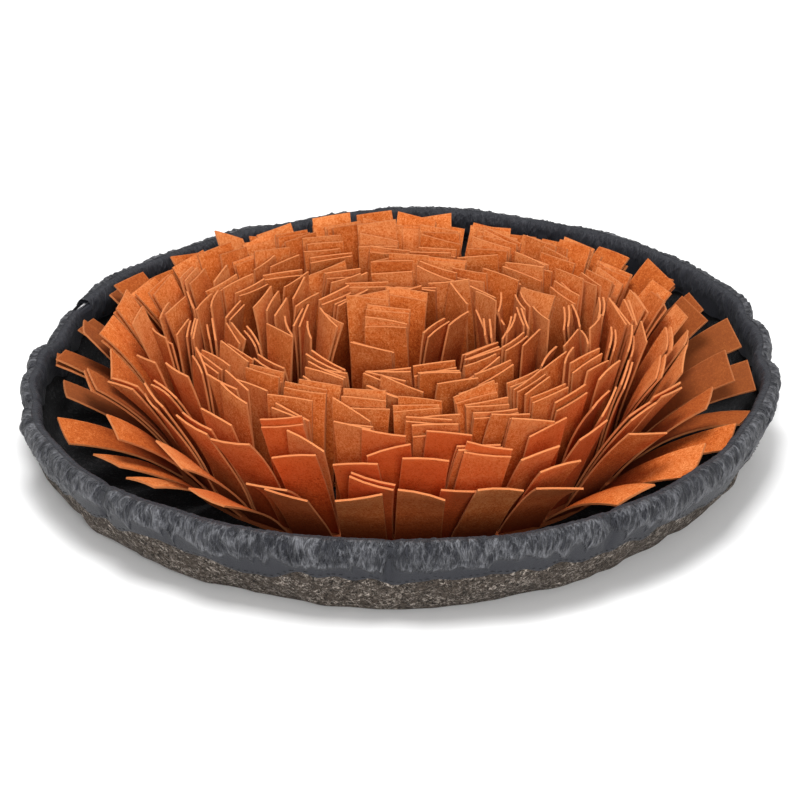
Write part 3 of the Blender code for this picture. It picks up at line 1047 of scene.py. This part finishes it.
def drawLie(chance, extra, tone):  # how one strip lies
    return {
        "broad": strip["wide"] * chance.uniform(*strip["widths"]),
        "cup": chance.uniform(-1, 1) * strip["cup"],
        "wave": chance.uniform(-1, 1) * strip["wave"],
        "phase": chance.uniform(0, 2 * math.pi),
        "curl": chance.gauss(0, strip["curlSpread"]) * strip["curl"],
        "turn": math.radians(chance.uniform(-1, 1) * strip["turn"]),
        "slant": math.tan(math.radians(chance.gauss(0, strip["slantSpread"]) * strip["slant"])),
        "reach": chance.uniform(*strip["lengths"]) + extra,
        # a random tint, plus the painted shade that tone gives to the front and side strips
        "shade": chance.random() * (1 - 0.5 * abs(tone)) + tone,
        "side": 0,
    }


def bendStrip(pattern, sections, lie):
    piece = pattern.copy()
    piece.data = pattern.data.copy()
    spots = [spot for spot, _ in sections]
    wides = [wide for _, wide in sections]
    long = sum((spots[i + 1] - spots[i]).length for i in range(2)) / mm
    broad, turn = lie["broad"], lie["turn"]
    low, high = strip["behind"]
    slantFrom = strip["slantFrom"]
    curlFrom, curlSpan = strip["curlFrom"]
    step = 0.02
    for point in piece.data.vertices:
        across, along, through = point.co
        share = along * lie["reach"] - strip["sink"] * (1 - along) / long
        share += across * broad * lie["slant"] * max(0.0, along - slantFrom) / (1 - slantFrom) / long
        spot = between(spots, share)
        ahead = (between(spots, share + step) - between(spots, share - step)).normalized()
        wide = between(wides, share)
        wide = (wide - ahead * wide.dot(ahead)).normalized()
        face = wide.cross(ahead)
        wide = wide * math.cos(turn * along) + face * math.sin(turn * along)
        face = wide.cross(ahead)
        free = smooth(along / strip["freeFrom"])
        lift = lie["cup"] * free * (4 * across * across - 0.4)
        lift += lie["wave"] * free * math.sin(lie["phase"] + along * 5 + across * 2)
        lift += lie["curl"] * max(0.0, along - curlFrom) ** 2 / curlSpan
        lift += lie["side"] * (low + (high - low) * along)
        point.co = spot + (wide * across * broad + face * (through * strip["thick"] + lift)) * mm
    for value in piece.data.attributes["tintAndShade"].data:
        value.value = lie["shade"]
    bpy.context.collection.objects.link(piece)
    return piece


def outline(piece):  # what is needed to find out whether it meets another piece
    points = [point.co for point in piece.data.vertices]
    low = [min(point[i] for point in points) for i in range(3)]
    high = [max(point[i] for point in points) for i in range(3)]
    return BVHTree.FromPolygons(points, [face.vertices for face in piece.data.polygons]), low, high


def meets(one, other):  # whether two outlines cut each other
    apart = any(one[1][i] > other[2][i] or other[1][i] > one[2][i] for i in range(3))
    return not apart and bool(one[0].overlap(other[0]))


def layStrip(pattern, sections, lie, easing):  # bent less until it meets nothing
    for ease in easing:
        bends = {name: lie[name] * ease for name in ("cup", "wave", "curl", "turn")}
        eased = {**lie, **bends, "reach": lie["reach"] - strip["easedShort"] * (1 - ease)}
        piece = bendStrip(pattern, sections, eased)
        form = outline(piece)
        free = not any(meets(form, other) for other in laid)
        if free or ease == 0:
            laid.append(form)
            return piece, eased, free
        bpy.data.objects.remove(piece)
    return None, lie, False


def cutBacking(node):  # the backing's own underside, drawn up to its thickness
    piece = node.copy()
    piece.data = node.data.copy()
    bpy.context.collection.objects.link(piece)
    editAll(piece)
    bpy.ops.mesh.customdata_custom_splitnormals_clear()
    bpy.ops.mesh.remove_doubles(threshold=merge)
    work = bmesh.from_edit_mesh(piece.data)
    low = strip["seamLow"] * mm
    for face in work.faces:  # only the underside stays
        face.select = not (face.normal.z < -0.99 and abs(face.calc_center_median().z - low) < 0.0001)
    bmesh.update_edit_mesh(piece.data)
    bpy.ops.mesh.delete(type="FACE")
    bpy.ops.mesh.select_all(action="SELECT")
    bpy.ops.mesh.dissolve_limited(angle_limit=math.radians(1))
    thick = (strip["seamTop"] - strip["seamLow"]) * mm
    bpy.ops.mesh.extrude_region_move(TRANSFORM_OT_translate={"value": (0, 0, thick)})
    bpy.ops.mesh.select_all(action="SELECT")
    bpy.ops.mesh.normals_make_consistent(inside=False)
    leaveEdit()
    return piece


def layRow(node, pattern, chance):  # the strips of one backing, each in its solid's place
    strips = []
    for sections in readStrips(node):
        extra = tone = 0.0
        toward = sections[0][0].xy.normalized()
        # painted shade for the front rows and for the outermost strips at the sides
        if node.name.startswith(("outer", "second")):
            tone = strip["frontShadeTone"] * max(0.0, -toward.y) ** 2
        if node.name.startswith("outer"):
            extra = strip["overhang"] * toward.x ** 2 + strip["backHang"] * max(0.0, toward.y) ** 2
            tone += strip["sideShadeTone"] * toward.x ** 2
        piece, lie, free = layStrip(pattern, sections, drawLie(chance, extra, tone), strip["eased"])
        strips.append((piece, sections, lie, drawLie(chance, extra, tone)))
        if not free:
            crossed.append(node.name)
    return strips


def addTwins(node, pattern, chance, strips):  # second strips, where there is room for them
    share = strip["rimTwins"] if node.name.startswith("outer") else strip["twins"]
    twins = []
    for _, sections, lie, twin in strips:
        side = chance.choice((-1, 1))
        if chance.random() > share:
            continue
        twin.update({name: lie[name] for name in ("broad", "cup", "wave", "phase", "turn")})
        twin["reach"] = min(twin["reach"], lie["reach"]) - strip["twinShort"]
        for way in (side, -side):
            twin["side"] = way
            twin["curl"] = lie["curl"] + way * chance.random() * strip["fan"]
            piece = layStrip(pattern, sections, twin, (1.0,))[0]
            if piece is not None:
                twins.append(piece)
                break
    return twins


def sewRow(node, legs):  # the strips of one backing, joined to it
    backing = cutBacking(node)
    pick(legs[0], backing, *legs[1:])
    bpy.ops.object.join()
    piece = bpy.context.object
    piece.name = "felt_" + node.name
    smoothShade(piece, strip["smooth"])
    fit(piece, "orange_felt", "orangeFelt", node.name)
    return piece


def makeStrips():
    pattern = cutPattern()
    nodes = [node for name, node in sorted(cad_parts.items()) if "ring" in name or "tuft" in name]
    chances = [random.Random(seed) for seed in range(len(nodes))]
    rows = [layRow(node, pattern, chance) for node, chance in zip(nodes, chances)]
    legs = [[piece for piece, *_ in row] for row in rows]
    for i, node in enumerate(nodes):
        legs[i] += addTwins(node, pattern, chances[i], rows[i])
    bpy.data.objects.remove(pattern)
    print("strips laid:", sum(map(len, legs)), "and", len(crossed), "of them meet another")
    return [sewRow(node, row) for node, row in zip(nodes, legs)]


laid = [outline(feltTray), outline(gatheredCasing)]  # what a new strip is kept clear of
crossed = []  # the backing of each strip that still meets something
stripPieces = makeStrips()
print("strips sewn to", len(stripPieces), "rows of backing")


print("scene built")
